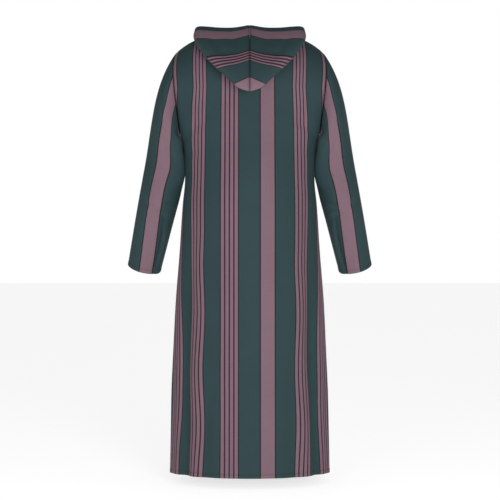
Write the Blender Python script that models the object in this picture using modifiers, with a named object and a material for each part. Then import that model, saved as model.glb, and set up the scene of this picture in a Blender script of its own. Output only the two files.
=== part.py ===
"""Hooded thobe, ankle length, filled out as it is worn, with the hood lying on the back.

Six pieces of woven cloth are cut and sewn: a back, a front, two sleeves and the
two halves of the hood. Each is an open surface worked out from rings or sections
and given the thickness of the cloth. All sizes are in metres. The wearer's front
faces -Y, +X is the wearer's left and +Z is up. The origin is the middle of the
neck opening, level with the neck ends of the shoulder seams.
"""

import math

import bpy
import numpy as np

NAME = "thobe"

# The cloth
WALL = 0.002
SEAM_GAP = 0.0005  # between the middles of two edges that are sewn together
HOOD_SEAM_GAP = 0.001  # wider, because the halves meet at an angle
ARMHOLE_GAP = 0.0012
UNDERARM_GAP = 0.0024  # the sleeve folds back on the body there
HOOD_LIFT = 0.0045  # the least height of the hood's middle above the body's

# Heights of the body
BACK_HEM = -1.333
FRONT_HEM = -1.312
SLIT_TOP = -1.223
UNDERARM = -0.339
CHEST_LINE = -0.170  # the shoulders curve over above this line

# Neck and shoulders
SHOULDER_HALF = 0.220
SHOULDER_DROP = 0.0573
SHOULDER_CURVE = 3.4
RIDGE_RISE = 0.0013
NECK_SHARE = 0.30  # of the panel's half width
BACK_NECK_SCOOP = 0.57
FRONT_NECK_CUT = 0.57
ARMHOLE_TURN = 53.0  # degrees round the oval where the panel ends at the chest line
CAP_SPREAD = 0.022
CAP_DRAW = 0.035

# Slits at the side seams, in degrees round the oval at the hem
SLIT_TURN = 1.5


def table(names, *rows):
    """A table's columns by name."""
    return dict(zip(names.split(), np.array(rows, float).T))


# The body's ovals, from the hem up
BODY = table(
    "height half_width back front",
    (-1.333, 0.2420, 0.170, 0.164),
    (-1.226, 0.2400, 0.169, 0.163),
    (-1.080, 0.2370, 0.166, 0.160),
    (-0.958, 0.2315, 0.163, 0.157),
    (-0.811, 0.2245, 0.160, 0.155),
    (-0.665, 0.2130, 0.157, 0.153),
    (-0.520, 0.2035, 0.153, 0.151),
    (-0.440, 0.1965, 0.148, 0.149),
    (-0.385, 0.2003, 0.141, 0.146),
    (-0.339, 0.2065, 0.134, 0.142),
    (-0.310, 0.2182, 0.130, 0.139),
    (-0.270, 0.2352, 0.125, 0.135),
    (-0.220, 0.2584, 0.119, 0.129),
    (-0.170, 0.2849, 0.116, 0.124),
)

# The skirt's folds: which panel, degrees from its centre to the wearer's left,
# degrees to where a fold fades, its depth, where it starts and where it is deepest
BACK, FRONT = 1, -1
FOLDS = (
    (BACK, 56.0, 8.0, 0.013, -0.47, -1.05),
    (BACK, -55.0, 8.0, 0.012, -0.43, -1.00),
    (BACK, 33.0, 6.0, 0.005, -0.95, -1.26),
    (BACK, -36.0, 7.0, 0.004, -0.90, -1.24),
    (FRONT, 47.0, 10.0, 0.013, -0.42, -1.02),
    (FRONT, -50.0, 9.0, 0.012, -0.46, -1.08),
    (FRONT, 15.0, 8.0, 0.006, -0.70, -1.18),
    (FRONT, -19.0, 9.0, 0.005, -0.78, -1.22),
)

# The wearer's left sleeve: its outer and inner edges and its middle, front to back,
# with half its depth and the degrees by which a ring leans with the bent forearm
SLEEVE = table(
    "down outer_x outer_z inner_x inner_z middle_y half_depth lean",
    (0.00, 0.3205, -0.406, 0.2005, -0.434, -0.012, 0.0600, 3.0),
    (0.25, 0.3345, -0.480, 0.2145, -0.500, -0.018, 0.0580, 9.0),
    (0.50, 0.3490, -0.554, 0.2360, -0.576, -0.038, 0.0530, 19.0),
    (0.75, 0.3630, -0.628, 0.2565, -0.650, -0.063, 0.0475, 23.0),
    (1.00, 0.3770, -0.702, 0.2770, -0.723, -0.091, 0.0430, 24.0),
)

# The left half of the hood, from the centre back to the centre front: its place
# along the neck seam (0 back, 1 shoulder, 2 front), how far it folds over, the
# bottom of the fold and the rim
HOOD = table(
    "neck fold fold_x fold_y fold_z rim_x rim_y rim_z",
    (0.00, 1.00, 0.0000, 0.205, -0.195, 0.0000, 0.080, 0.0155),
    (0.15, 1.00, 0.0340, 0.200, -0.182, 0.0450, 0.080, 0.0080),
    (0.30, 1.00, 0.0610, 0.186, -0.157, 0.0880, 0.076, 0.0080),
    (0.48, 1.00, 0.0990, 0.158, -0.120, 0.1260, 0.068, 0.0120),
    (0.66, 0.95, 0.1320, 0.126, -0.083, 0.1520, 0.052, 0.0150),
    (0.82, 0.85, 0.1540, 0.085, -0.045, 0.1640, 0.026, 0.0120),
    (0.98, 0.50, 0.1500, 0.030, -0.008, 0.1610, -0.012, 0.0030),
    (1.20, 0.15, 0.1200, -0.030, -0.006, 0.1480, -0.052, -0.0180),
    (1.50, 0.00, 0.0720, -0.075, -0.036, 0.1020, -0.098, -0.0500),
    (1.80, 0.00, 0.0270, -0.108, -0.080, 0.0440, -0.123, -0.0760),
    (2.00, 0.00, 0.0000, -0.119, -0.101, 0.0000, -0.128, -0.0860),
)
FOLD_WIDTH = 0.085
FOLD_SPREAD = 0.10  # how far the fold rolls sideways, for each metre from the middle
RIM_OUT, RIM_UP = 0.25, 0.12
NECK_OUT, NECK_DOWN = 0.07, 0.05

# How finely the surfaces are divided
NECK_STEPS, SHOULDER_STEPS = 4, 8
SKIRT_STEPS, ARMHOLE_STEPS, DOME_STEPS = 16, 5, 7
CAP_STEPS, ARM_STEPS = 7, 9
HOOD_STEPS, INNER_STEPS, OUTER_STEPS = 20, 5, 8


def smooth(at, knots, values):
    """A smooth curve through values, whose slopes come from their neighbours."""
    slopes = np.gradient(values, knots)
    i = int(np.clip(np.searchsorted(knots, at) - 1, 0, len(knots) - 2))
    step = knots[i + 1] - knots[i]
    return hermite(
        (at - knots[i]) / step,
        values[i],
        slopes[i] * step,
        values[i + 1],
        slopes[i + 1] * step,
    )


def hermite(t, start, leave, end, arrive):
    """A cubic from start to end that leaves and arrives with the given slopes."""
    return (
        start * (2 * t**3 - 3 * t**2 + 1)
        + leave * (t**3 - 2 * t**2 + t)
        + end * (3 * t**2 - 2 * t**3)
        + arrive * (t**3 - t**2)
    )


def ease(t):
    """Rises from 0 to 1 with flat ends."""
    t = min(max(t, 0.0), 1.0)
    return t * t * (3 - 2 * t)


def body_size(name, height):
    """One of the body oval's sizes at a height."""
    return smooth(height, BODY["height"], BODY[name])


def panel_depth(side, height):
    """How far a panel's middle lies behind or in front of the side seams."""
    return body_size("back" if side == BACK else "front", height)


def edge_turn(height):
    """Degrees round the oval from a panel's centre to its edge."""
    if height > UNDERARM:
        rise = (height - UNDERARM) / (CHEST_LINE - UNDERARM)
        return 90 - (90 - ARMHOLE_TURN) * math.sqrt(rise)
    if height < SLIT_TOP:
        return 90 - SLIT_TURN * (SLIT_TOP - height) / (SLIT_TOP - BACK_HEM)
    return 90.0


def fold_pull(side, turn, height):
    """How far the folds draw the cloth in."""
    pull = 0.0
    for panel, middle, reach, depth, top, deepest in FOLDS:
        if panel == side:
            grown = ease((top - height) / (top - deepest))
            pull += depth * grown * math.exp(-(((turn - middle) / reach) ** 2))
    return pull


def oval_point(side, share, height):
    """A point of a panel below the chest line."""
    half_width = body_size("half_width", height)
    depth = panel_depth(side, height)
    turn = share * edge_turn(height)
    across, along = math.sin(math.radians(turn)), math.cos(math.radians(turn))
    out = np.array([across / half_width, side * along / depth, 0.0])
    out /= np.linalg.norm(out)
    point = np.array(
        [half_width * across, side * (depth * along + SEAM_GAP / 2), height]
    )
    return point - out * fold_pull(side, turn, height)


def shoulder_height(x):
    """The height of the shoulder seam."""
    return RIDGE_RISE - SHOULDER_DROP * (abs(x) / SHOULDER_HALF) ** SHOULDER_CURVE


def top_turn(side, share):
    """Degrees up the shoulder's curve to the shoulder seam or the neckline."""
    inward = max(0.0, 1 - abs(share) / NECK_SHARE)
    if inward == 0:
        return 90.0
    if side == BACK:
        reach = math.sqrt(1 - (1 - inward) ** 2)
        return math.degrees(math.acos(BACK_NECK_SCOOP * reach))
    return math.degrees(math.asin(1 - FRONT_NECK_CUT * inward))


def shoulder_point(side, share, climb):
    """A point of a panel above the chest line, from 0 there to 1 at its top edge."""
    turn = math.radians(share * ARMHOLE_TURN)
    rise = math.radians(climb * top_turn(side, share))
    spread = 1 + CAP_SPREAD * math.sin(2 * rise) - CAP_DRAW * (1 - math.cos(rise))
    x = body_size("half_width", CHEST_LINE) * math.sin(turn) * spread
    depth = panel_depth(side, CHEST_LINE) * math.cos(turn)
    height = CHEST_LINE + (shoulder_height(x) - CHEST_LINE) * math.sin(rise)
    return np.array([x, side * (depth * math.cos(rise) + SEAM_GAP / 2), height])


def shoulder_top(x, y, lift):
    """The height of the shoulders' surface, raised by lift, falling away outside it."""
    side = BACK if y > 0 else FRONT
    width = body_size("half_width", CHEST_LINE) + lift
    depth = panel_depth(side, CHEST_LINE) * math.sqrt(max(0.0, 1 - (x / width) ** 2))
    inside = 1 - (y / (depth + lift)) ** 2
    rise = math.copysign(math.sqrt(abs(inside)), inside)
    return CHEST_LINE + (shoulder_height(x) + lift - CHEST_LINE) * rise


def shares():
    """Where a panel's columns stand, with one at each end of the neckline."""
    half = list(np.linspace(0, NECK_SHARE, NECK_STEPS + 1))
    half += list(np.linspace(NECK_SHARE, 1, SHOULDER_STEPS + 1)[1:])
    return [-s for s in reversed(half[1:])] + half


def panel_rows(side):
    """A panel's rows of points, from the hem to the shoulder seams."""
    hem = BACK_HEM if side == BACK else FRONT_HEM
    heights = list(np.linspace(hem, UNDERARM, SKIRT_STEPS + 1))
    heights += list(np.linspace(UNDERARM, CHEST_LINE, ARMHOLE_STEPS + 1)[1:])
    rows = [[oval_point(side, s, h) for s in shares()] for h in heights]
    for climb in np.linspace(0, 1, DOME_STEPS + 1)[1:]:
        rows.append([shoulder_point(side, s, climb) for s in shares()])
    return rows


def armhole():
    """The left armhole: from the underarm up the back and down the front."""
    back = [row[-1] for row in panel_rows(BACK)[SKIRT_STEPS:]]
    front = [row[-1] for row in panel_rows(FRONT)[SKIRT_STEPS:]]
    front[0], front[-1] = back[0], back[-1]
    return back + front[-2:0:-1]


def sleeve_ring(down, turns):
    """A ring of the left sleeve below its cap, seen from outside to the back."""
    size = {name: smooth(down, SLEEVE["down"], SLEEVE[name]) for name in SLEEVE}
    outer = np.array([size["outer_x"], size["middle_y"], size["outer_z"]])
    inner = np.array([size["inner_x"], size["middle_y"], size["inner_z"]])
    lean = math.radians(size["lean"])
    back = np.array([0.0, math.cos(lean), -math.sin(lean)]) * size["half_depth"]
    middle = (outer + inner) / 2
    return [
        middle + (outer - middle) * math.cos(t) + back * math.sin(t) for t in turns
    ]


def sleeve_rows():
    """The left sleeve's rings, from the armhole to the cuff."""
    seam = armhole()
    steps = [np.linalg.norm(b - a) for a, b in zip(seam, seam[1:] + seam[:1])]
    along = np.concatenate([[0], np.cumsum(steps)[:-1]]) / sum(steps)
    turns = [math.pi - 2 * math.pi * share for share in along]
    tube = sleeve_ring(0, turns)
    tube_slope = (np.array(sleeve_ring(0.1, turns)) - np.array(tube)) / 0.1
    rows = []
    for t in np.linspace(0, 1, CAP_STEPS + 1)[:-1]:
        row = []
        for start, end, turn, slope in zip(seam, tube, turns, tube_slope):
            top = (1 + math.cos(turn)) / 2
            gap = ARMHOLE_GAP + (UNDERARM_GAP - ARMHOLE_GAP) * (1 - top) ** 2
            leave = np.array([0.02 + 0.19 * top, 0.09 * math.sin(turn), 0])
            leave[2] = -0.09 - 0.20 * top
            arrive = slope * np.linalg.norm(end - start) / np.linalg.norm(slope)
            row.append(
                hermite(t, start + np.array([gap, 0, 0]), leave, end, arrive)
            )
        rows.append(row)
    for down in np.linspace(0, 1, ARM_STEPS + 1):
        rows.append(sleeve_ring(down, turns))
    return rows


def hood_neck(neck):
    """The left half's edge on the neckline: 0 back, 1 shoulder, 2 front."""
    side = BACK if neck < 1 else FRONT
    inward = abs(1 - neck)
    q = math.sin(math.pi / 2 * (1 - inward)) if side == BACK else 1 - inward
    point = shoulder_point(side, NECK_SHARE * min(q, 1.0), 1)
    point[2] = shoulder_top(point[0], point[1], HOOD_LIFT)
    return point


def hood_strand(place):
    """The left half's points across, from the neck seam over the fold to the rim."""
    knots = np.arange(len(HOOD["neck"]), dtype=float)
    size = {name: smooth(place, knots, HOOD[name]) for name in HOOD}
    start = hood_neck(min(max(size["neck"], 0.0), 2.0))
    bottom = np.array([size["fold_x"], size["fold_y"], size["fold_z"]])
    rim = np.array([size["rim_x"], size["rim_y"], size["rim_z"]])
    fold = min(max(size["fold"], 0.0), 1.0)
    out = np.array([bottom[0] * FOLD_SPREAD, max(bottom[1], 0.02), 0.0])
    out /= np.linalg.norm(out)
    up = np.array([0.0, 0.0, 1.0])
    flat = (rim - start) / 2
    through = fold * out * FOLD_WIDTH + (1 - fold) * flat
    leave = fold * (out * NECK_OUT - up * NECK_DOWN) + (1 - fold) * flat
    arrive = fold * (up * RIM_UP - out * RIM_OUT) + (1 - fold) * flat
    points = []
    for t in np.linspace(0, 1, INNER_STEPS + 1):
        points.append(hermite(t, start, leave, bottom, through))
    for t in np.linspace(0, 1, OUTER_STEPS + 1)[1:]:
        points.append(hermite(t, bottom, through, rim, arrive))
    for point in points:
        least = shoulder_top(point[0], point[1], HOOD_LIFT)
        over = point[2] - least
        point[2] = least + (over + math.hypot(over, HOOD_LIFT / 2)) / 2
        point[0] = max(point[0], 0.0) + HOOD_SEAM_GAP / 2
    return points


def hood_rows():
    """The left half of the hood, strand by strand."""
    last = len(HOOD["neck"]) - 1
    return [hood_strand(place) for place in np.linspace(0, last, HOOD_STEPS + 1)]


def mirrored(rows):
    """The same rows for the wearer's right, turned so that their faces point out."""
    flip = np.array([-1.0, 1.0, 1.0])
    return [[point * flip for point in row] for row in reversed(rows)]


def cloth(name, rows, material, closed=False):
    """A grid of rows as a piece of cloth with its thickness."""
    across = len(rows[0])
    corners = [tuple(point) for row in rows for point in row]
    columns = range(across if closed else across - 1)
    faces = []
    for j in range(len(rows) - 1):
        for i in columns:
            k = (i + 1) % across
            low, high = j * across, (j + 1) * across
            faces.append((low + i, low + k, high + k, high + i))
    mesh = bpy.data.meshes.new(name)
    mesh.from_pydata(corners, [], faces)
    mesh.shade_smooth()
    mesh.materials.append(material)
    piece = bpy.data.objects.new(name, mesh)
    bpy.data.collections[NAME].objects.link(piece)
    thickness = piece.modifiers.new("thickness", "SOLIDIFY")
    thickness.thickness = WALL
    thickness.offset = 0
    thickness.use_even_offset = False
    return piece


def woven(name, colour):
    """A matt woven cloth of one colour."""
    material = bpy.data.materials.new(name)
    material.use_nodes = True
    shader = material.node_tree.nodes["Principled BSDF"]
    shader.inputs["Base Color"].default_value = (*colour, 1.0)
    shader.inputs["Roughness"].default_value = 0.85
    shader.inputs["Metallic"].default_value = 0.0
    return material


GREEN = (0.041, 0.074, 0.081)
DEEP_GREEN = (0.034, 0.063, 0.068)
MAUVE = (0.216, 0.150, 0.185)

for old in list(bpy.data.objects):
    bpy.data.objects.remove(old, do_unlink=True)
bpy.context.scene.collection.children.link(bpy.data.collections.new(NAME))

cloth("body_back", [row[::-1] for row in panel_rows(BACK)], woven("back_cloth", GREEN))
cloth("body_front", panel_rows(FRONT), woven("front_cloth", DEEP_GREEN))
cloth("sleeve_left", sleeve_rows(), woven("left_sleeve_cloth", MAUVE), closed=True)
cloth(
    "sleeve_right",
    mirrored(sleeve_rows()),
    woven("right_sleeve_cloth", MAUVE),
    closed=True,
)
cloth("hood_left", hood_rows(), woven("left_hood_cloth", MAUVE))
cloth("hood_right", mirrored(hood_rows()), woven("right_hood_cloth", GREEN))
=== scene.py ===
import math

import bpy
import numpy as np
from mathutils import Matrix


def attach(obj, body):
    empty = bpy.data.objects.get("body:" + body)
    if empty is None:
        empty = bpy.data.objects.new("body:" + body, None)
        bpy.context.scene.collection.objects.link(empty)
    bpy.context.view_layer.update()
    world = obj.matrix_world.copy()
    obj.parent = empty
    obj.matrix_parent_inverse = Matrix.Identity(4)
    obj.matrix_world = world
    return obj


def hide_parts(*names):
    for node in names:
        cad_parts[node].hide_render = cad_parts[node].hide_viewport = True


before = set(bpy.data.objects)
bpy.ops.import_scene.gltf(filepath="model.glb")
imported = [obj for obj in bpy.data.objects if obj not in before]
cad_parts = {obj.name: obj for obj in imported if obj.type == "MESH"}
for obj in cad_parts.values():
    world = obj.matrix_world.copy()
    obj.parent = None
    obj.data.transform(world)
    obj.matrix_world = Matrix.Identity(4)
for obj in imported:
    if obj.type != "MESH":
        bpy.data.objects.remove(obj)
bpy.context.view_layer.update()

bpy.ops.object.select_all(action="DESELECT")

# The back.
# One panel of smooth woven cloth, printed or woven with stripes that run up and down.
# It is joined at the shoulders, armholes and side seams, slit at the sides and hemmed.

BACK, FRONT = 1, -1
WALL = 0.0018
SEAM_GAP = 0.0004
BACK_HEM, FRONT_HEM = -1.333, -1.312
SLIT_TOP, SLIT_TURN = -1.223, 1.5
UNDERARM, CHEST_LINE = -0.339, -0.170
SHOULDER_HALF, SHOULDER_DROP, SHOULDER_CURVE = 0.220, 0.0573, 3.4
RIDGE_RISE = 0.0013
NECK_SHARE, BACK_NECK_SCOOP, FRONT_NECK_CUT = 0.30, 0.57, 0.57
ARMHOLE_TURN = 53.0
CAP_SPREAD, CAP_DRAW = 0.022, 0.035
HEM_TURN = 0.0115
GROOVE_DEPTH, GROOVE_WIDTH = 0.0013, 0.0035
# SEAM_SHADE: how far from a seam the painted shade reaches
SEAM_SHADE = 0.0030
FINE_ROWS = 0.018  # height above the hem over which the rows lie close
BEND_REACH = 0.17  # from a panel's centre to where the stripes stop bending further
WANDER, WANDER_WAVE = 0.0035, 0.33
WANDER_PLACE, WANDER_WIDTH = 0.165, 0.045


def table(names, *rows):
    """A table's columns by name."""
    return dict(zip(names.split(), np.array(rows, float).T))


BODY = table(
    "height half_width back front",
    (-1.333, 0.2420, 0.170, 0.164),
    (-1.226, 0.2400, 0.169, 0.163),
    (-1.080, 0.2370, 0.166, 0.160),
    (-0.958, 0.2315, 0.163, 0.157),
    (-0.811, 0.2245, 0.160, 0.155),
    (-0.665, 0.2130, 0.157, 0.153),
    (-0.520, 0.2035, 0.153, 0.151),
    (-0.440, 0.1965, 0.148, 0.149),
    (-0.385, 0.2003, 0.141, 0.146),
    (-0.339, 0.2065, 0.134, 0.142),
    (-0.310, 0.2182, 0.130, 0.139),
    (-0.270, 0.2352, 0.125, 0.135),
    (-0.220, 0.2584, 0.119, 0.129),
    (-0.170, 0.2849, 0.116, 0.124),
)

# Folds of the skirt: panel, degrees from its centre to the wearer's left, degrees to
# where it fades, depth, where it starts and is deepest, the cloth that it takes up,
# and how far and over what height it sways
FOLDS = (
    (BACK, 56.0, 8.0, 0.013, -0.47, -1.05, 0.017, 1.6, 0.31),
    (BACK, -55.0, 8.0, 0.012, -0.43, -1.00, 0.017, 1.8, 0.36),
    (BACK, 33.0, 6.0, 0.005, -0.95, -1.26, 0.002, 2.0, 0.20),
    (BACK, -36.0, 7.0, 0.004, -0.90, -1.24, 0.002, 2.4, 0.22),
    (BACK, 72.0, 5.0, 0.004, -0.60, -1.10, 0.000, 1.2, 0.27),
    (BACK, -71.0, 5.0, 0.004, -0.66, -1.18, 0.000, 1.0, 0.24),
    (FRONT, 47.0, 10.0, 0.013, -0.42, -1.02, 0.014, 1.8, 0.33),
    (FRONT, -50.0, 9.0, 0.012, -0.46, -1.08, 0.014, 1.5, 0.29),
    (FRONT, 15.0, 8.0, 0.006, -0.70, -1.18, 0.002, 2.2, 0.26),
    (FRONT, -19.0, 9.0, 0.005, -0.78, -1.22, 0.002, 2.0, 0.31),
    (FRONT, 70.0, 5.0, 0.004, -0.62, -1.15, 0.000, 1.0, 0.25),
)

# How the stripes lean in or out towards a panel's sides, by height
LAY = table(
    "height bend",
    (-1.333, -1.05),
    (-1.168, -0.80),
    (-0.884, -0.10),
    (-0.600, -0.80),
    (-0.457, -0.90),
    (-0.350, 0.60),
    (-0.244, 2.90),
    (-0.155, 5.10),
)

# Creases: from and to, each as across and up the cloth, then width and depth
# (a negative depth is a ridge)
BACK_CREASES = (
    (0.235, -0.330, 0.120, -0.250, 0.016, 0.0024),
    (-0.232, -0.335, -0.128, -0.262, 0.015, 0.0026),
    (0.240, -0.370, 0.150, -0.365, 0.014, 0.0018),
    (-0.242, -0.362, -0.160, -0.372, 0.013, 0.0016),
    (0.215, -0.150, 0.160, -0.300, 0.020, 0.0030),
    (-0.213, -0.160, -0.157, -0.290, 0.020, 0.0028),
    (0.070, -0.250, 0.055, -0.470, 0.026, 0.0012),
    (-0.085, -0.270, -0.060, -0.500, 0.028, 0.0013),
    (0.115, -0.520, 0.098, -0.900, 0.024, 0.0016),
    (-0.112, -0.560, -0.104, -0.860, 0.022, 0.0018),
    (0.060, -1.060, 0.066, -1.330, 0.022, 0.0018),
    (-0.052, -1.100, -0.058, -1.330, 0.024, 0.0016),
    (0.005, -1.180, 0.008, -1.330, 0.030, -0.0014),
)


def hermite(t, start, leave, end, arrive):
    """A cubic from start to end that leaves and arrives with the given slopes."""
    return (
        start * (2 * t**3 - 3 * t**2 + 1)
        + leave * (t**3 - 2 * t**2 + t)
        + end * (3 * t**2 - 2 * t**3)
        + arrive * (t**3 - t**2)
    )


def smooth(at, knots, values):
    """A smooth curve through values, whose slopes come from their neighbours."""
    at = np.asarray(at, float)
    slopes = np.gradient(values, knots)
    i = np.clip(np.searchsorted(knots, at) - 1, 0, len(knots) - 2)
    step = knots[i + 1] - knots[i]
    leave, arrive = slopes[i] * step, slopes[i + 1] * step
    return hermite((at - knots[i]) / step, values[i], leave, values[i + 1], arrive)


def ease(t):
    """Rises from 0 to 1 with flat ends."""
    t = np.clip(t, 0.0, 1.0)
    return t * t * (3 - 2 * t)


def body_size(name, height):
    return smooth(height, BODY["height"], BODY[name])


def panel_depth(side, height):
    return body_size("back" if side == BACK else "front", height)


def edge_turn(height):
    """Degrees round the oval from a panel's centre to its edge."""
    rise = np.clip((height - UNDERARM) / (CHEST_LINE - UNDERARM), 0, 1)
    slit = np.clip((SLIT_TOP - height) / (SLIT_TOP - BACK_HEM), 0, 1)
    return 90 - (90 - ARMHOLE_TURN) * np.sqrt(rise) - SLIT_TURN * slit


def fold_fields(side, turn, height):
    """How far the folds draw the cloth in, and the cloth that they take up."""
    pull, taken = np.zeros_like(turn), np.zeros_like(turn)
    for panel, middle, reach, depth, top, deepest, cloth, sway, wave in FOLDS:
        if panel != side:
            continue
        grown = ease((top - height) / (top - deepest))
        bend = sway * np.sin((height - top) / wave * math.pi) * grown
        off = (turn - middle - bend) / reach
        pull += depth * grown * (np.exp(-(off**2)) - 0.28 * np.exp(-((abs(off) - 1.9) ** 2)))
        # at the hem the fold opens out again
        held = grown * (1 - 0.7 * ease((-1.10 - height) / 0.23))
        sign = 1 if middle > 0 else -1
        taken += sign * cloth * held * 0.5 * (1 + np.tanh(sign * off * 1.4))
    return pull, taken


def shoulder_height(x):
    return RIDGE_RISE - SHOULDER_DROP * (np.abs(x) / SHOULDER_HALF) ** SHOULDER_CURVE


def top_turn(side, share):
    """Degrees up the shoulder's curve to the shoulder seam or the neckline."""
    inward = np.clip(1 - np.abs(share) / NECK_SHARE, 0, 1)
    if side == BACK:
        reach = np.sqrt(np.clip(1 - (1 - inward) ** 2, 0, 1))
        return np.degrees(np.arccos(BACK_NECK_SCOOP * reach))
    return np.degrees(np.arcsin(1 - FRONT_NECK_CUT * inward))


def shoulder_points(side, share, climb):
    """Points of a panel above the chest line."""
    turn = np.radians(share * ARMHOLE_TURN)
    rise = np.radians(climb * top_turn(side, share))
    spread = 1 + CAP_SPREAD * np.sin(2 * rise) - CAP_DRAW * (1 - np.cos(rise))
    x = body_size("half_width", CHEST_LINE) * np.sin(turn) * spread
    depth = panel_depth(side, CHEST_LINE) * np.cos(turn)
    height = CHEST_LINE + (shoulder_height(x) - CHEST_LINE) * np.sin(rise)
    return np.stack([x, side * (depth * np.cos(rise) + SEAM_GAP / 2), height], -1)


def oval_points(side, share, height):
    """Points of a panel below the chest line, and the cloth taken up by its folds."""
    half_width = body_size("half_width", height)
    depth = panel_depth(side, height)
    turn = share * edge_turn(height)
    across, along = np.sin(np.radians(turn)), np.cos(np.radians(turn))
    out = np.stack([across / half_width, side * along / depth, 0 * turn], -1)
    out /= np.linalg.norm(out, axis=-1, keepdims=True)
    y = side * (depth * along + SEAM_GAP / 2)
    points = np.stack([half_width * across, y, height + 0 * turn], -1)
    pull, taken = fold_fields(side, turn, height + 0 * turn)
    return points - out * pull[..., None], taken


def along_rows(points):
    """The length of each row from its first point."""
    steps = np.linalg.norm(np.diff(points, axis=1), axis=-1)
    return np.concatenate([np.zeros((len(points), 1)), np.cumsum(steps, axis=1)], axis=1)


def crease_field(across, up, creases):
    """How deep the creases are at each point of the cloth."""
    depth = np.zeros_like(across)
    for a0, u0, a1, u1, width, deep in creases:
        run = np.array([a1 - a0, u1 - u0])
        length = np.linalg.norm(run)
        t = ((across - a0) * run[0] + (up - u0) * run[1]) / length**2
        side = ((across - a0) * run[1] - (up - u0) * run[0]) / length
        bow = side + 0.05 * length * np.sin(np.pi * np.clip(t, 0, 1))
        fade = np.exp(-(((t - 0.5) / 0.42) ** 4))
        depth += deep * fade * np.exp(-((bow / width) ** 2))
    return depth


def pushed_out(points, amount, sign=1, closed=False):
    """The points moved along the surface's normal, which points out of the body."""
    if closed:
        wrapped = np.concatenate([points[:, -1:], points, points[:, :1]], axis=1)
        across = (wrapped[:, 2:] - wrapped[:, :-2])
    else:
        across = np.gradient(points, axis=1)
    normal = np.cross(across, np.gradient(points, axis=0)) * sign
    length = np.linalg.norm(normal, axis=-1, keepdims=True)
    return points + normal / np.maximum(length, 1e-12) * amount[..., None]


def edge_groove(distance):
    """A seam draws the cloth in beside it."""
    return -GROOVE_DEPTH * np.exp(-((distance / GROOVE_WIDTH) ** 2))


def hem_relief(above):
    """The turned hem is thicker up to its row of stitches, which draws it in."""
    thicker = 0.0006 * ease((HEM_TURN - above) / 0.0015 + 0.5)
    return thicker - 0.0006 * np.exp(-(((above - HEM_TURN) / 0.0013) ** 2))


def climb_steps():
    """How far up the shoulder's curve the rows above the chest line lie."""
    return np.linspace(0, 1, 36)[1:, None]


def panel(side, creases):
    """A panel's points, and its cloth's across and up coordinates."""
    q = np.linspace(-1, 1, 161)
    share = (0.35 * q + 0.65 * np.sin(q * math.pi / 2))[None, :]
    hem = BACK_HEM if side == BACK else FRONT_HEM
    near_hem = np.linspace(hem, hem + FINE_ROWS, 13)
    skirt = np.linspace(hem + FINE_ROWS, UNDERARM, 130)[1:]
    chest = UNDERARM + (CHEST_LINE - UNDERARM) * np.linspace(0, 1, 30)[1:] ** 1.5
    height = np.concatenate([near_hem, skirt, chest])[:, None]
    low, taken = oval_points(side, share, height)
    climb = climb_steps()
    high = shoulder_points(side, share + 0 * climb, climb)
    across = along_rows(low)
    middle = across.shape[1] // 2
    across = across - across[:, middle : middle + 1] + taken - taken[:, middle : middle + 1]
    bend = smooth(height, LAY["height"], LAY["bend"])
    lay = bend * np.clip(across, -BEND_REACH, BEND_REACH) ** 3
    # lower down the stripes at the sides wander a little with the folds
    wander = np.sin((height + 0.60) / WANDER_WAVE * 2 * math.pi) * ease((-0.55 - height) / 0.2)
    at_side = np.exp(-(((np.abs(across) - WANDER_PLACE) / WANDER_WIDTH) ** 2))
    lay = across + lay + WANDER * wander * at_side
    lay = np.concatenate([lay, np.repeat(lay[-1:], len(climb_steps()), axis=0)])
    across = np.concatenate([across, np.repeat(across[-1:], len(high), axis=0)])
    rise = np.linalg.norm(np.diff(np.concatenate([low[-1:], high]), axis=0), axis=-1)
    up = np.concatenate([height + 0 * share, CHEST_LINE + np.cumsum(rise, axis=0)])
    points = np.concatenate([low, high])
    to_edge = along_rows(points)
    to_edge = np.minimum(to_edge, to_edge[:, -1:] - to_edge)
    amount = edge_groove(to_edge) - crease_field(across * side, up, creases)
    above = np.concatenate([height - hem, 0 * climb + 1])
    amount += hem_relief(above)
    top = np.concatenate([low[:, :, 2] * 0 + 1, (1 - climb) * 0.14 + 0 * share])
    amount += edge_groove(top)
    from_seam = np.minimum(to_edge, top)
    return pushed_out(points, amount, -side), lay, up, from_seam


def cloth(name, points, across, up, from_seam, material, closed=False, flip=False):
    """A grid of points as a piece of cloth, with its coordinates as its UV map."""
    rows, columns = points.shape[:2]
    last = columns if closed else columns - 1
    j, i = np.meshgrid(np.arange(rows - 1), np.arange(last), indexing="ij")
    k = (i + 1) % columns
    corners = [j * columns + i, j * columns + k, (j + 1) * columns + k, (j + 1) * columns + i]
    faces = np.stack(corners, -1).reshape(-1, 4)
    uv = np.stack([across, up], -1)
    ends = [uv[:-1, :last], uv[:-1, 1 : last + 1], uv[1:, 1 : last + 1], uv[1:, :last]]
    loops = np.stack(ends, 2).reshape(-1, 4, 2)
    if flip:
        faces, loops = faces[:, ::-1], loops[:, ::-1]
    mesh = bpy.data.meshes.new(name)
    mesh.from_pydata(points.reshape(-1, 3), [], faces)
    layer = mesh.uv_layers.new(name="cloth")
    layer.data.foreach_set("uv", loops.reshape(-1).astype(np.float32))
    # painted shade: each point's closeness to a seam, which later darkens the cloth's colour
    # there as shade would
    shaded = mesh.attributes.new("seam", "FLOAT", "POINT")
    painted_seam_shade = np.exp(-np.clip(from_seam / SEAM_SHADE, 0, 30)).astype(np.float32)
    shaded.data.foreach_set("value", painted_seam_shade.reshape(-1))
    mesh.shade_smooth()
    mesh.materials.append(material)
    piece = bpy.data.objects.new(name, mesh)
    bpy.context.scene.collection.objects.link(piece)
    wall = piece.modifiers.new("wall", "SOLIDIFY")
    wall.thickness, wall.offset = WALL, 0
    bpy.context.view_layer.objects.active = piece
    bpy.ops.object.modifier_apply(modifier="wall")
    return piece


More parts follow.
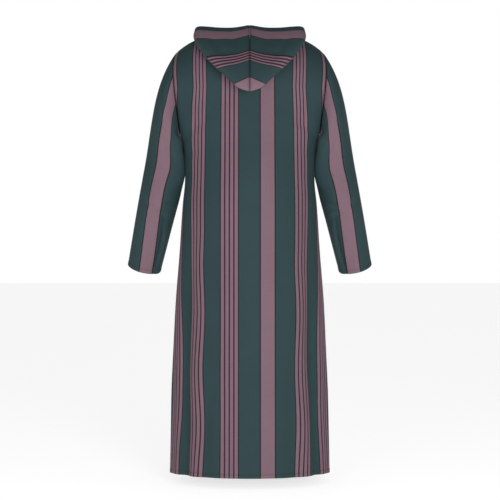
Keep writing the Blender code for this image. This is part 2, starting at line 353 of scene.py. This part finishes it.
def linear(red, green, blue):
    """A colour given as eight-bit numbers, as the shader's own values."""
    return tuple(
        c / 3294.6 if c <= 10 else ((c / 255 + 0.055) / 1.055) ** 2.4
        for c in (red, green, blue)
    )


GREEN = linear(40, 61, 64)
MAUVE = linear(119, 94, 105)
PLUM = linear(46, 26, 39)
# the dark printed lines beside the stripes, also used as painted shade along the hood's rim
BORDER_AND_RIM_SHADE = linear(30, 26, 31)

# The stripes, in metres: a group of four bars and a wide band, with the ground between
GROUP, GROUND, WIDE = 0.057, 0.049, 0.0475
BEFORE_WIDE, AFTER_WIDE = 0.059, 0.0625
LINE = 0.0028
REPEAT = 3 * GROUP + 2 * GROUND + BEFORE_WIDE + WIDE + AFTER_WIDE
GROUP_START = 0.032  # from the centre back to the first group


def bars(start, end):
    """A group of four mauve bars with plum between and a dark line at each side."""
    gap = (end - start - 2 * LINE) * 0.083
    bar = (end - start - 2 * LINE - 3 * gap) / 4
    stops = [(start, BORDER_AND_RIM_SHADE)]
    for n in range(4):
        stops.append((start + LINE + n * (bar + gap), MAUVE))
        stops.append((start + LINE + n * (bar + gap) + bar, PLUM))
    stops[-1] = (end - LINE, BORDER_AND_RIM_SHADE)
    return stops + [(end, GREEN)]


def band(start, end):
    """A wide mauve band with a dark line at each side."""
    return [(start, BORDER_AND_RIM_SHADE), (start + LINE, MAUVE), (end - LINE, BORDER_AND_RIM_SHADE), (end, GREEN)]


def ramp(tree, stops, length):
    """A colour ramp whose stops are given in metres along its length."""
    node = tree.nodes.new("ShaderNodeValToRGB")
    node.color_ramp.interpolation = "CONSTANT"
    stops = [(0.0, GREEN)] + stops if stops[0][0] > 0 else stops
    points = node.color_ramp.elements
    for n, (place, colour) in enumerate(stops):
        point = points[n] if n < 2 else points.new(place / length)
        point.position = place / length
        point.color = (*colour, 1)
    return node


def maths(tree, operation, first, second=None, third=None):
    node = tree.nodes.new("ShaderNodeMath")
    node.operation = operation
    for socket, value in zip(node.inputs, (first, second, third)):
        if isinstance(value, (int, float)):
            socket.default_value = value
        elif value is not None:
            tree.links.new(value, socket)
    return node.outputs[0]


def group(name, inputs, outputs):
    """An empty node group with its sockets."""
    tree = bpy.data.node_groups.new(name, "ShaderNodeTree")
    for label, kind, value in inputs:
        socket = tree.interface.new_socket(label, in_out="INPUT", socket_type=kind)
        if value is not None:
            socket.default_value = value
    for label, kind in outputs:
        tree.interface.new_socket(label, in_out="OUTPUT", socket_type=kind)
    return tree, tree.nodes.new("NodeGroupInput"), tree.nodes.new("NodeGroupOutput")


stripes, given, made = group(
    "lengthwise stripes",
    [("Across", "NodeSocketFloat", 0.0), ("Shift", "NodeSocketFloat", 0.0)],
    [("Colour", "NodeSocketColor")],
)
shifted = maths(stripes, "SUBTRACT", given.outputs["Across"], given.outputs["Shift"])
place = maths(stripes, "FLOORED_MODULO", shifted, REPEAT)
in_group = maths(stripes, "FLOORED_MODULO", place, GROUP + GROUND)
group_ramp = ramp(stripes, bars(0.0, GROUP), GROUP + GROUND)
wide_start = 3 * GROUP + 2 * GROUND + BEFORE_WIDE
wide_ramp = ramp(stripes, band(wide_start, wide_start + WIDE), REPEAT)
stripes.links.new(maths(stripes, "DIVIDE", in_group, GROUP + GROUND), group_ramp.inputs[0])
stripes.links.new(maths(stripes, "DIVIDE", place, REPEAT), wide_ramp.inputs[0])
chosen = stripes.nodes.new("ShaderNodeMix")
chosen.data_type = "RGBA"
past_groups = maths(stripes, "GREATER_THAN", place, 3 * GROUP + 2 * GROUND + 0.001)
stripes.links.new(past_groups, chosen.inputs[0])
stripes.links.new(group_ramp.outputs[0], chosen.inputs[6])
stripes.links.new(wide_ramp.outputs[0], chosen.inputs[7])
stripes.links.new(chosen.outputs[2], made.inputs["Colour"])

THREAD = 0.00055  # from one thread to the next
SEAM_PAINTED_SHADE = 0.55  # how much painted shade darkens the cloth's colour right at a seam

weave, given, made = group(
    "plain weave",
    [("Cloth", "NodeSocketVector", None), ("Colour", "NodeSocketColor", None)],
    [
        ("Colour", "NodeSocketColor"),
        ("Height", "NodeSocketFloat"),
        ("Roughness", "NodeSocketFloat"),
    ],
)
parts = weave.nodes.new("ShaderNodeSeparateXYZ")
weave.links.new(given.outputs["Cloth"], parts.inputs[0])
warp = maths(weave, "SINE", maths(weave, "MULTIPLY", parts.outputs[0], math.pi / THREAD))
weft = maths(weave, "SINE", maths(weave, "MULTIPLY", parts.outputs[1], math.pi / THREAD))
over = maths(weave, "MULTIPLY", warp, weft)
slub = weave.nodes.new("ShaderNodeTexNoise")
slub.inputs["Scale"].default_value = 1.0
slub.inputs["Detail"].default_value = 3.0
long_way = weave.nodes.new("ShaderNodeMapping")
long_way.inputs["Scale"].default_value = (900.0, 28.0, 1.0)
weave.links.new(given.outputs["Cloth"], long_way.inputs[0])
weave.links.new(long_way.outputs[0], slub.inputs["Vector"])
cross_slub = weave.nodes.new("ShaderNodeTexNoise")
cross_slub.inputs["Scale"].default_value = 1.0
cross_slub.inputs["Detail"].default_value = 2.0
wide_way = weave.nodes.new("ShaderNodeMapping")
wide_way.inputs["Scale"].default_value = (24.0, 850.0, 1.0)
weave.links.new(given.outputs["Cloth"], wide_way.inputs[0])
weave.links.new(wide_way.outputs[0], cross_slub.inputs["Vector"])
dye = weave.nodes.new("ShaderNodeTexNoise")
dye.inputs["Scale"].default_value = 7.0
dye.inputs["Detail"].default_value = 4.0
weave.links.new(given.outputs["Cloth"], dye.inputs["Vector"])
slubs = maths(weave, "ADD", slub.outputs[0], cross_slub.outputs[0])
height = maths(weave, "MULTIPLY_ADD", over, 0.55, maths(weave, "MULTIPLY", slubs, 0.5))
shade = maths(weave, "MULTIPLY_ADD", slubs, 0.22, 0.78)
shade = maths(weave, "MULTIPLY_ADD", over, 0.05, shade)
shade = maths(weave, "MULTIPLY", shade, maths(weave, "MULTIPLY_ADD", dye.outputs[0], 0.16, 0.92))
tinted = weave.nodes.new("ShaderNodeVectorMath")
tinted.operation = "SCALE"
weave.links.new(given.outputs["Colour"], tinted.inputs[0])
weave.links.new(shade, tinted.inputs["Scale"])
weave.links.new(tinted.outputs[0], made.inputs["Colour"])
weave.links.new(height, made.inputs["Height"])
rough = maths(weave, "MULTIPLY_ADD", slubs, 0.10, 0.62)
weave.links.new(rough, made.inputs["Roughness"])


def cloth_material(name, stripe_group, shift=0.0):
    """Smooth woven cloth with a slight sheen, coloured by a group of stripes."""
    material = bpy.data.materials.new(name)
    material.use_nodes = True
    tree = material.node_tree
    shader = tree.nodes["Principled BSDF"]
    where = tree.nodes.new("ShaderNodeUVMap")
    where.uv_map = "cloth"
    split = tree.nodes.new("ShaderNodeSeparateXYZ")
    tree.links.new(where.outputs[0], split.inputs[0])
    colours = tree.nodes.new("ShaderNodeGroup")
    colours.node_tree = stripe_group
    tree.links.new(split.outputs[0], colours.inputs["Across"])
    colours.inputs["Shift"].default_value = shift
    threads = tree.nodes.new("ShaderNodeGroup")
    threads.node_tree = weave
    tree.links.new(where.outputs[0], threads.inputs["Cloth"])
    tree.links.new(colours.outputs[0], threads.inputs["Colour"])
    # painted shade: the cloth's colour is darkened near its seams, where shade falls beside them
    seam = tree.nodes.new("ShaderNodeAttribute")
    seam.attribute_name = "seam"
    painted_shade_factor = maths(tree, "MULTIPLY_ADD", seam.outputs["Fac"], -SEAM_PAINTED_SHADE, 1.0)
    shaded = tree.nodes.new("ShaderNodeVectorMath")
    shaded.operation = "SCALE"
    tree.links.new(threads.outputs["Colour"], shaded.inputs[0])
    tree.links.new(painted_shade_factor, shaded.inputs["Scale"])
    tree.links.new(shaded.outputs[0], shader.inputs["Base Color"])
    tree.links.new(threads.outputs["Roughness"], shader.inputs["Roughness"])
    bump = tree.nodes.new("ShaderNodeBump")
    bump.inputs["Strength"].default_value = 0.35
    bump.inputs["Distance"].default_value = 0.0003
    tree.links.new(threads.outputs["Height"], bump.inputs["Height"])
    tree.links.new(bump.outputs[0], shader.inputs["Normal"])
    shader.inputs["Sheen Weight"].default_value = 0.03
    shader.inputs["Sheen Roughness"].default_value = 0.4
    shader.inputs["Specular IOR Level"].default_value = 0.22
    return material


back_points, back_across, back_up, back_seams = panel(BACK, BACK_CREASES)
back = cloth(
    "back_panel",
    back_points,
    back_across,
    back_up,
    back_seams,
    cloth_material("striped_back", stripes, GROUP_START),
    flip=True,
)
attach(back, "root")
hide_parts("body_back")

# The front.
# One panel of the same cloth with a V neck, a little shorter than the back.
# Its stripes are laid out as the back's are.

FRONT_CREASES = (
    (0.232, -0.330, 0.110, -0.240, 0.018, 0.0026),
    (-0.236, -0.335, -0.118, -0.252, 0.016, 0.0028),
    (0.205, -0.150, 0.150, -0.310, 0.020, 0.0030),
    (-0.208, -0.155, -0.148, -0.300, 0.021, 0.0030),
    (0.020, -0.170, 0.045, -0.330, 0.020, 0.0016),
    (-0.022, -0.175, -0.040, -0.340, 0.020, 0.0015),
    (0.090, -0.480, 0.082, -0.920, 0.026, 0.0020),
    (-0.105, -0.520, -0.098, -0.880, 0.024, 0.0020),
    (0.030, -1.020, 0.036, -1.300, 0.024, 0.0016),
)
front_points, front_across, front_up, front_seams = panel(FRONT, FRONT_CREASES)
front = cloth(
    "front_panel",
    front_points,
    front_across,
    front_up,
    front_seams,
    cloth_material("striped_front", stripes, GROUP_START),
)
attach(front, "root")
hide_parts("body_front")

# The sleeves.
# Each is one panel, set into the armhole and closed by a seam under the arm.
# The wide stripe runs down the back of the arm, and the cuff is turned and stitched.

ARMHOLE_GAP, UNDERARM_GAP = 0.0010, 0.0021
SLEEVE = table(
    "down outer_x outer_z inner_x inner_z middle_y half_depth lean",
    (0.00, 0.3205, -0.406, 0.2005, -0.434, -0.012, 0.0600, 3.0),
    (0.25, 0.3345, -0.480, 0.2145, -0.500, -0.018, 0.0580, 9.0),
    (0.50, 0.3490, -0.554, 0.2360, -0.576, -0.038, 0.0530, 19.0),
    (0.75, 0.3630, -0.628, 0.2565, -0.650, -0.063, 0.0475, 23.0),
    (1.00, 0.3770, -0.702, 0.2770, -0.723, -0.091, 0.0430, 24.0),
)
# Creases of a sleeve: across is towards the back from the line down its outer side,
# and up is the height of that line
SLEEVE_CREASES = (
    (0.030, -0.500, 0.150, -0.545, 0.009, 0.0040),
    (0.055, -0.535, 0.175, -0.515, 0.008, 0.0030),
    (0.180, -0.470, 0.100, -0.500, 0.009, 0.0034),
    (-0.160, -0.480, -0.060, -0.530, 0.010, 0.0042),
    (-0.170, -0.520, -0.080, -0.560, 0.009, 0.0022),
    (0.100, -0.150, 0.128, -0.360, 0.016, 0.0036),
    (0.150, -0.250, 0.060, -0.360, 0.016, 0.0020),
    (-0.120, -0.180, -0.110, -0.340, 0.018, 0.0026),
    (0.118, -0.520, 0.100, -0.715, 0.007, 0.0050),
    (0.132, -0.560, 0.117, -0.715, 0.007, -0.0026),
    (0.085, -0.610, 0.080, -0.715, 0.009, 0.0014),
    (0.035, -0.430, 0.045, -0.640, 0.014, 0.0014),
    (-0.060, -0.580, -0.050, -0.690, 0.012, 0.0020),
)

# Where the back of the sleeve rests against the body's side below the armhole
REST_DEPTH, REST_TURN, REST_REACH = 0.0115, math.radians(140), math.radians(25)
REST_TOP, REST_FOOT = -0.300, -0.480

# The stripes by height: how far they lean from the line down the arm's outer side, and
# how wide the wide one lies
CAP = table(
    "height lean spread",
    (-0.733, 0.000, 1.08),
    (-0.630, 0.000, 1.05),
    (-0.538, 0.001, 1.05),
    (-0.447, 0.006, 1.05),
    (-0.356, 0.019, 0.85),
    (-0.280, 0.046, 0.60),
    (-0.204, 0.072, 0.75),
    (-0.174, 0.066, 0.90),
    (-0.143, 0.054, 0.90),
    (-0.056, 0.030, 0.90),
)
SLEEVE_STRIPE = 0.059  # from the line down the outer side back to the wide stripe
LEAN_START, LEAN_REACH = -0.045, 0.16  # across the cloth, where the stripes' lean grows
INNER_SPREAD = 0.75  # how wide the stripes lie past the wide one


def armhole_edge():
    """The left armhole: from the underarm up the back and down the front."""
    low = UNDERARM + (CHEST_LINE - UNDERARM) * np.linspace(0, 1, 25) ** 1.5
    edges = []
    for side in (BACK, FRONT):
        lower = oval_points(side, np.array([[1.0]]), low[:, None])[0][:, 0]
        climb = np.linspace(0, 1, 25)[1:, None]
        upper = shoulder_points(side, np.ones_like(climb), climb)[:, 0]
        edges.append(np.concatenate([lower, upper]))
    return np.concatenate([edges[0], edges[1][-2:0:-1]])


def sleeve_ring(down, turns):
    """Rings of the left sleeve below its cap, one row for each place down the arm."""
    down = np.atleast_1d(down)
    size = {name: smooth(down, SLEEVE["down"], SLEEVE[name]) for name in SLEEVE}
    outer = np.stack([size["outer_x"], size["middle_y"], size["outer_z"]], -1)
    inner = np.stack([size["inner_x"], size["middle_y"], size["inner_z"]], -1)
    lean = np.radians(size["lean"])
    back = np.stack([0 * lean, np.cos(lean), -np.sin(lean)], -1)
    back = back * size["half_depth"][:, None]
    middle = (outer + inner)[:, None] / 2
    half = (outer - inner)[:, None] / 2
    turned = np.cos(turns)[None, :, None], np.sin(turns)[None, :, None]
    return middle + half * turned[0] + back[:, None] * turned[1]


def sleeve_points():
    """The left sleeve's points, and its cloth's across and up coordinates."""
    seam = armhole_edge()
    around = np.linalg.norm(np.roll(seam, -1, axis=0) - seam, axis=1)
    along = np.concatenate([[0], np.cumsum(around)]) / around.sum()
    share = np.linspace(0, 1, 97)[:-1]
    ring = np.concatenate([seam, seam[:1]])
    start = np.stack([np.interp(share, along, ring[:, n]) for n in range(3)], -1)
    turns = math.pi - 2 * math.pi * share
    tube = sleeve_ring(0.0, turns)[0]
    slope = (sleeve_ring(0.1, turns)[0] - tube) / 0.1
    top = ((1 + np.cos(turns)) / 2)[:, None]
    gap = ARMHOLE_GAP + (UNDERARM_GAP - ARMHOLE_GAP) * (1 - top) ** 2
    start = start + gap * np.array([1.0, 0, 0])
    leave = np.concatenate(
        [0.02 + 0.19 * top, 0.09 * np.sin(turns)[:, None], -0.09 - 0.20 * top], axis=1
    )
    length = np.linalg.norm(tube - start, axis=1, keepdims=True)
    arrive = slope * length / np.linalg.norm(slope, axis=1, keepdims=True)
    t = np.linspace(0, 1, 56)[:-1, None, None] ** 1.25
    cap = hermite(t, start[None], leave[None], tube[None], arrive[None])
    down = np.concatenate([np.linspace(0, 0.94, 72), np.linspace(0.94, 1, 14)[1:]])
    points = np.concatenate([cap, sleeve_ring(down, turns)])
    height = points[..., 2]
    rests = ease((REST_TOP - height) / 0.03) * ease((height - REST_FOOT) / 0.035)
    points[..., 0] -= REST_DEPTH * rests * np.exp(-(((turns - REST_TURN) / REST_REACH) ** 2))
    wrapped = np.concatenate([points, points[:, :1]], axis=1)
    across = along_rows(wrapped)
    outer = across.shape[1] // 2
    across = across[:, outer : outer + 1] - across
    up = np.repeat(wrapped[:, outer : outer + 1, 2], wrapped.shape[1], axis=1)
    run = np.linalg.norm(np.diff(points, axis=0), axis=-1)
    from_seam = np.concatenate([np.zeros((1, len(share))), np.cumsum(run, axis=0)])
    from_cuff = from_seam[-1:] - from_seam
    amount = -crease_field(across[:, :-1], up[:, :-1], SLEEVE_CREASES)
    amount += edge_groove(from_seam) + hem_relief(from_cuff)
    shown = pushed_out(points, amount, 1, closed=True)
    z = np.clip(wrapped[:, :, 2], CAP["height"][0], CAP["height"][-1])
    lean = smooth(z, CAP["height"], CAP["lean"])
    lay = across - lean * ease((across - LEAN_START) / LEAN_REACH)
    spread = smooth(z, CAP["height"], CAP["spread"])
    inward = np.clip(lay - SLEEVE_STRIPE, 0, None)
    on_stripe = np.minimum(inward, WIDE / spread)
    past_stripe = INNER_SPREAD * (inward - on_stripe)
    lay = np.minimum(lay, SLEEVE_STRIPE) + on_stripe * spread + past_stripe
    return shown, lay, up, from_seam


sleeve_shape, sleeve_across, sleeve_up, sleeve_seams = sleeve_points()
SLEEVE_SHIFT = SLEEVE_STRIPE - 3 * GROUP - 2 * GROUND - BEFORE_WIDE
for name, side, turned in (("left", 1, False), ("right", -1, True)):
    points = sleeve_shape * np.array([side, 1.0, 1.0])
    piece = cloth(
        f"{name}_sleeve",
        points,
        sleeve_across,
        sleeve_up,
        sleeve_seams,
        cloth_material(f"striped_{name}_sleeve", stripes, SLEEVE_SHIFT),
        closed=True,
        flip=not turned,
    )
    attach(piece, "root")
    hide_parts(f"sleeve_{name}")

# The hood.
# Two halves are joined by a seam up the middle and sewn to the neckline.
# It lies open on the back, and its stripes run across, from side to side.

HOOD_SEAM_GAP = 0.0006
HOOD_LIFT = 0.0045
FOLD_WIDTH, FOLD_SPREAD = 0.085, 0.10
RIM_OUT, RIM_UP = 0.25, 0.12
NECK_OUT, NECK_DOWN = 0.07, 0.05
HOOD = table(
    "neck fold fold_x fold_y fold_z rim_x rim_y rim_z",
    (0.00, 1.00, 0.0000, 0.205, -0.195, 0.0000, 0.080, 0.0155),
    (0.15, 1.00, 0.0340, 0.200, -0.182, 0.0450, 0.080, 0.0080),
    (0.30, 1.00, 0.0610, 0.186, -0.157, 0.0880, 0.076, 0.0080),
    (0.48, 1.00, 0.0990, 0.158, -0.120, 0.1260, 0.068, 0.0120),
    (0.66, 0.95, 0.1320, 0.126, -0.083, 0.1520, 0.052, 0.0150),
    (0.82, 0.85, 0.1540, 0.085, -0.045, 0.1640, 0.026, 0.0120),
    (0.98, 0.50, 0.1500, 0.030, -0.008, 0.1610, -0.012, 0.0030),
    (1.20, 0.15, 0.1200, -0.030, -0.006, 0.1480, -0.052, -0.0180),
    (1.50, 0.00, 0.0720, -0.075, -0.036, 0.1020, -0.098, -0.0500),
    (1.80, 0.00, 0.0270, -0.108, -0.080, 0.0440, -0.123, -0.0760),
    (2.00, 0.00, 0.0000, -0.119, -0.101, 0.0000, -0.128, -0.0860),
)
# Creases of a half: across is the way in from the rim, up is the way round from the
# centre back
HOOD_CREASES = (
    (0.020, 0.060, 0.120, 0.030, 0.014, 0.0022),
    (0.030, 0.120, 0.160, 0.075, 0.016, 0.0026),
    (0.015, 0.185, 0.090, 0.140, 0.013, 0.0020),
    (0.120, 0.020, 0.128, 0.120, 0.012, 0.0020),
)


def shoulder_top(x, y, lift):
    """The height of the shoulders' surface, raised by lift, falling away outside it."""
    chest = np.where(y > 0, panel_depth(BACK, CHEST_LINE), panel_depth(FRONT, CHEST_LINE))
    width = body_size("half_width", CHEST_LINE) + lift
    depth = chest * np.sqrt(np.clip(1 - (x / width) ** 2, 0, 1))
    inside = 1 - (y / (depth + lift)) ** 2
    rise = np.sign(inside) * np.sqrt(np.abs(inside))
    return CHEST_LINE + (shoulder_height(x) + lift - CHEST_LINE) * rise


def hood_neck(neck):
    """The left half's edge on the neckline: 0 back, 1 shoulder, 2 front."""
    neck = np.clip(neck, 0, 2)
    back_share = NECK_SHARE * np.cos(math.pi / 2 * (1 - np.minimum(neck, 1)))
    front_share = NECK_SHARE * (2 - np.maximum(neck, 1))
    behind = shoulder_points(BACK, back_share, 1.0)
    ahead = shoulder_points(FRONT, front_share, 1.0)
    point = np.where((neck < 1)[:, None], behind, ahead)
    point[:, 2] = shoulder_top(point[:, 0], point[:, 1], HOOD_LIFT)
    return point


def hood_points():
    """The left half of the hood: a row for each strand, from the neck to the rim."""
    knots = np.arange(len(HOOD["neck"]), dtype=float)
    place = np.linspace(0, len(knots) - 1, 101)
    size = {name: smooth(place, knots, HOOD[name]) for name in HOOD}
    start = hood_neck(size["neck"])
    bottom = np.stack([size["fold_x"], size["fold_y"], size["fold_z"]], -1)
    rim = np.stack([size["rim_x"], size["rim_y"], size["rim_z"]], -1)
    fold = np.clip(size["fold"], 0, 1)[:, None]
    out = np.stack([bottom[:, 0] * FOLD_SPREAD, np.maximum(bottom[:, 1], 0.02), 0 * place], -1)
    out /= np.linalg.norm(out, axis=1, keepdims=True)
    up = np.array([0.0, 0.0, 1.0])
    flat = (rim - start) / 2
    through = fold * out * FOLD_WIDTH + (1 - fold) * flat
    leave = fold * (out * NECK_OUT - up * NECK_DOWN) + (1 - fold) * flat
    arrive = fold * (up * RIM_UP - out * RIM_OUT) + (1 - fold) * flat
    inner_t = np.linspace(0, 1, 37)[None, :, None]
    outer_t = 1 - np.linspace(1, 0, 53)[None, 1:, None] ** 1.15
    start, bottom, rim = start[:, None], bottom[:, None], rim[:, None]
    through, leave, arrive = through[:, None], leave[:, None], arrive[:, None]
    points = np.concatenate(
        [
            hermite(inner_t, start, leave, bottom, through),
            hermite(outer_t, bottom, through, rim, arrive),
        ],
        axis=1,
    )
    least = shoulder_top(points[..., 0], points[..., 1], HOOD_LIFT)
    over = points[..., 2] - least
    points[..., 2] = least + (over + np.hypot(over, HOOD_LIFT / 2)) / 2
    points[..., 0] = np.maximum(points[..., 0], 0.0) + HOOD_SEAM_GAP / 2
    length = along_rows(points)
    from_rim = length[:, -1:] - length
    around = np.concatenate([[0], np.cumsum(np.linalg.norm(np.diff(rim[:, 0], axis=0), axis=1))])
    around = around[:, None] + 0 * from_rim
    from_front = around[-1:] - around
    amount = hem_relief(from_rim) - crease_field(from_rim, around, HOOD_CREASES)
    amount += edge_groove(around) + edge_groove(from_front)
    # towards its sides the stripes stand a little further from the rim
    drift = 1 - 0.13 * ease(place / 4) - 0.10 * ease((place - 4) / 1.2)
    from_seam = np.minimum(np.minimum(around, from_front), length)
    lay = from_rim * drift[:, None] + 0.006 * np.exp(-around / 0.02)
    return pushed_out(points, amount, 1), lay, around, from_seam


# The hood's stripes by their distance from the rim, with painted shade as a thin dark line along
# the rim itself
HOOD_LENGTH = 0.60
hood_order = [(0.0, BORDER_AND_RIM_SHADE), (0.003, GREEN)]
hood_order += band(0.022, 0.065) + bars(0.124, 0.164)
hood_order += band(0.216, 0.264) + bars(0.324, 0.364)
hood_stripes, given, made = group(
    "crosswise stripes",
    [("Across", "NodeSocketFloat", 0.0), ("Shift", "NodeSocketFloat", 0.0)],
    [("Colour", "NodeSocketColor")],
)
from_edge = maths(hood_stripes, "SUBTRACT", given.outputs["Across"], given.outputs["Shift"])
hood_ramp = ramp(hood_stripes, hood_order, HOOD_LENGTH)
hood_stripes.links.new(maths(hood_stripes, "DIVIDE", from_edge, HOOD_LENGTH), hood_ramp.inputs[0])
hood_stripes.links.new(hood_ramp.outputs[0], made.inputs["Colour"])

hood_shape, hood_from_rim, hood_around, hood_seams = hood_points()
for name, side in (("left", 1), ("right", -1)):
    piece = cloth(
        f"{name}_hood_half",
        hood_shape * np.array([side, 1.0, 1.0]),
        hood_from_rim,
        hood_around,
        hood_seams,
        cloth_material(f"striped_{name}_hood", hood_stripes),
        flip=side < 0,
    )
    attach(piece, "root")
    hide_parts(f"hood_{name}")

# The stitches.
# Rows of lockstitch in dark green thread hold the turned hems of the skirt, the cuffs
# and the hood's rim. Each stitch is a short thread lying on the cloth.

STITCH_PITCH, STITCH_LENGTH, THREAD_HALF = 0.0031, 0.0023, 0.00028
STITCH_INSET = 0.004  # from a line's end to its first stitch
HEM_ROWS = 16  # rows of cloth that hold a hem's stitches
BODY_CORE, HOOD_CORE = (0.0, 0.0, -0.6), (0.0, 0.0, -0.08)


def along_line(line, closed=False):
    """The two ends of each stitch, at even steps along a line of points."""
    line = np.concatenate([line, line[:1]]) if closed else line
    run = np.concatenate([[0], np.cumsum(np.linalg.norm(np.diff(line, axis=0), axis=1))])
    inset = 0.0 if closed else STITCH_INSET
    count = int((run[-1] - 2 * inset) / STITCH_PITCH)
    at = inset + (np.arange(count) + 0.5) * STITCH_PITCH
    return [
        np.stack([np.interp(at + half, run, line[:, n]) for n in range(3)], -1)
        for half in (-STITCH_LENGTH / 2, STITCH_LENGTH / 2)
    ]


def hem_line(points, below):
    """The line at the stitches' height on the last or first rows of a piece of cloth."""
    run = np.linalg.norm(np.diff(points, axis=0), axis=-1)
    gone = np.concatenate([np.zeros((1, points.shape[1])), np.cumsum(run, axis=0)])
    line = [
        [np.interp(below, gone[:, i], points[:, i, n]) for n in range(3)]
        for i in range(points.shape[1])
    ]
    return np.array(line)


# each line, the point that it faces away from, whether it closes, and whether its
# stitches face level
stitch_lines = []
for points in (back_points[:HEM_ROWS], front_points[:HEM_ROWS]):
    stitch_lines.append((hem_line(points, HEM_TURN), np.array(BODY_CORE), False, True))
for side in (1, -1):
    cuff = sleeve_shape[::-1][:HEM_ROWS] * np.array([side, 1.0, 1.0])
    stitch_lines.append((hem_line(cuff, HEM_TURN), cuff[0].mean(axis=0), True, True))
for side in (1, -1):
    rim = (hood_shape * np.array([side, 1.0, 1.0])).transpose(1, 0, 2)[::-1][:HEM_ROWS]
    stitch_lines.append((hem_line(rim, HEM_TURN), np.array(HOOD_CORE), False, False))

corners, sides = [], []
for line, centre, closed, level in stitch_lines:
    for start, end in zip(*along_line(line, closed)):
        way = (end - start) / np.linalg.norm(end - start)
        out = (start + end) / 2 - centre
        out -= way * out.dot(way)
        if level:
            out[2] = 0
        out /= np.linalg.norm(out)
        width = np.cross(way, out) * THREAD_HALF
        lift = out * (WALL / 2 + THREAD_HALF * 0.6)
        base = len(corners)
        for place, swell in ((start, 0.5), ((start + end) / 2, 1.0), (end, 0.5)):
            for turn in range(4):
                c, s = math.cos(turn * math.pi / 2), math.sin(turn * math.pi / 2)
                round_off = (width * c + out * THREAD_HALF * s) * swell
                corners.append(tuple(place + lift + round_off))
        for ring in (0, 4):
            for turn in range(4):
                k = (turn + 1) % 4
                low, high = base + ring, base + ring + 4
                sides.append((low + turn, low + k, high + k, high + turn))
        sides.append(tuple(base + k for k in (3, 2, 1, 0)))
        sides.append(tuple(base + 8 + k for k in (0, 1, 2, 3)))
stitch_mesh = bpy.data.meshes.new("hem_stitches")
stitch_mesh.from_pydata(corners, [], sides)
stitch_mesh.shade_smooth()
thread = bpy.data.materials.new("dark_green_thread")
thread.use_nodes = True
twist_tree = thread.node_tree
thread_shader = twist_tree.nodes["Principled BSDF"]
thread_shader.inputs["Roughness"].default_value = 0.6
where = twist_tree.nodes.new("ShaderNodeTexCoord")
twist = twist_tree.nodes.new("ShaderNodeTexNoise")
twist.inputs["Scale"].default_value = 2200.0
twist_tree.links.new(where.outputs["Object"], twist.inputs["Vector"])
thread_colour = twist_tree.nodes.new("ShaderNodeValToRGB")
thread_colour.color_ramp.elements[0].color = (*linear(24, 34, 35), 1)
thread_colour.color_ramp.elements[1].color = (*linear(52, 66, 67), 1)
twist_tree.links.new(twist.outputs[0], thread_colour.inputs[0])
twist_tree.links.new(thread_colour.outputs[0], thread_shader.inputs["Base Color"])
stitch_mesh.materials.append(thread)
stitches = bpy.data.objects.new("hem_stitches", stitch_mesh)
bpy.context.scene.collection.objects.link(stitches)
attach(stitches, "root")

# The floor, the light and the camera.
# A plain pale floor just under the hem, soft light from the camera's side and above.

bpy.ops.mesh.primitive_plane_add(size=60, location=(0, 0, BACK_HEM - 0.03))
floor = bpy.context.object
floor.name = "floor"
floor_paint = bpy.data.materials.new("floor_paint")
floor_paint.use_nodes = True
floor_shader = floor_paint.node_tree.nodes["Principled BSDF"]
floor_shader.inputs["Base Color"].default_value = (0.92, 0.92, 0.92, 1)
floor_shader.inputs["Roughness"].default_value = 0.9
floor_shader.inputs["Emission Color"].default_value = (1, 1, 1, 1)
floor_shader.inputs["Emission Strength"].default_value = 0.70
floor.data.materials.append(floor_paint)

world = bpy.data.worlds.new("studio")
world.use_nodes = True
sky = world.node_tree.nodes["Background"]
WALL_LIGHT, ROOM_LIGHT = 1.0, 0.22
# the pale wall in front of the garment, with the dimmer room round it
toward = world.node_tree.nodes.new("ShaderNodeTexCoord")
facing = world.node_tree.nodes.new("ShaderNodeSeparateXYZ")
wall = world.node_tree.nodes.new("ShaderNodeMapRange")
wall.interpolation_type = "SMOOTHSTEP"
wall.inputs["From Min"].default_value = -0.91
wall.inputs["From Max"].default_value = -0.97
wall.inputs["To Min"].default_value = ROOM_LIGHT
wall.inputs["To Max"].default_value = WALL_LIGHT
world.node_tree.links.new(toward.outputs["Generated"], facing.inputs[0])
world.node_tree.links.new(facing.outputs["Y"], wall.inputs["Value"])
world.node_tree.links.new(wall.outputs["Result"], sky.inputs["Strength"])
sky.inputs["Color"].default_value = (1.0, 1.0, 1.0, 1)
bpy.context.scene.world = world
bpy.context.scene.view_settings.view_transform = "Standard"


def soft_box(name, place, aim, size, power):
    """A large soft lamp aimed at a point."""
    lamp = bpy.data.lights.new(name, "AREA")
    lamp.shape = "DISK"
    lamp.size, lamp.energy = size, power
    holder = bpy.data.objects.new(name, lamp)
    bpy.context.scene.collection.objects.link(holder)
    way = np.array(place) - np.array(aim)
    pitch = math.atan2(math.hypot(way[0], way[1]), way[2])
    holder.location = place
    holder.rotation_euler = (pitch, 0, math.atan2(way[0], -way[1]))
    return holder


soft_box("key", (-0.9, 4.4, -0.3), (0, 0, -0.6), 1.4, 78)
soft_box("fill", (1.3, 4.3, -0.9), (0, 0, -0.7), 1.8, 46)

FRAME_PIXELS, METRES_PER_PIXEL, CENTRE_PIXEL = 500, 0.00305, 249.75
DISTANCE, NECK_PIXEL = 5.0, 34
camera = bpy.data.cameras.new("camera")
camera.lens = camera.sensor_width * DISTANCE / (FRAME_PIXELS * METRES_PER_PIXEL)
viewer = bpy.data.objects.new("camera", camera)
bpy.context.scene.collection.objects.link(viewer)
viewer.location = (
    (CENTRE_PIXEL - FRAME_PIXELS / 2) * METRES_PER_PIXEL,
    DISTANCE,
    (NECK_PIXEL - FRAME_PIXELS / 2) * METRES_PER_PIXEL,
)
viewer.rotation_euler = (math.pi / 2, 0, math.pi)
bpy.context.scene.camera = viewer
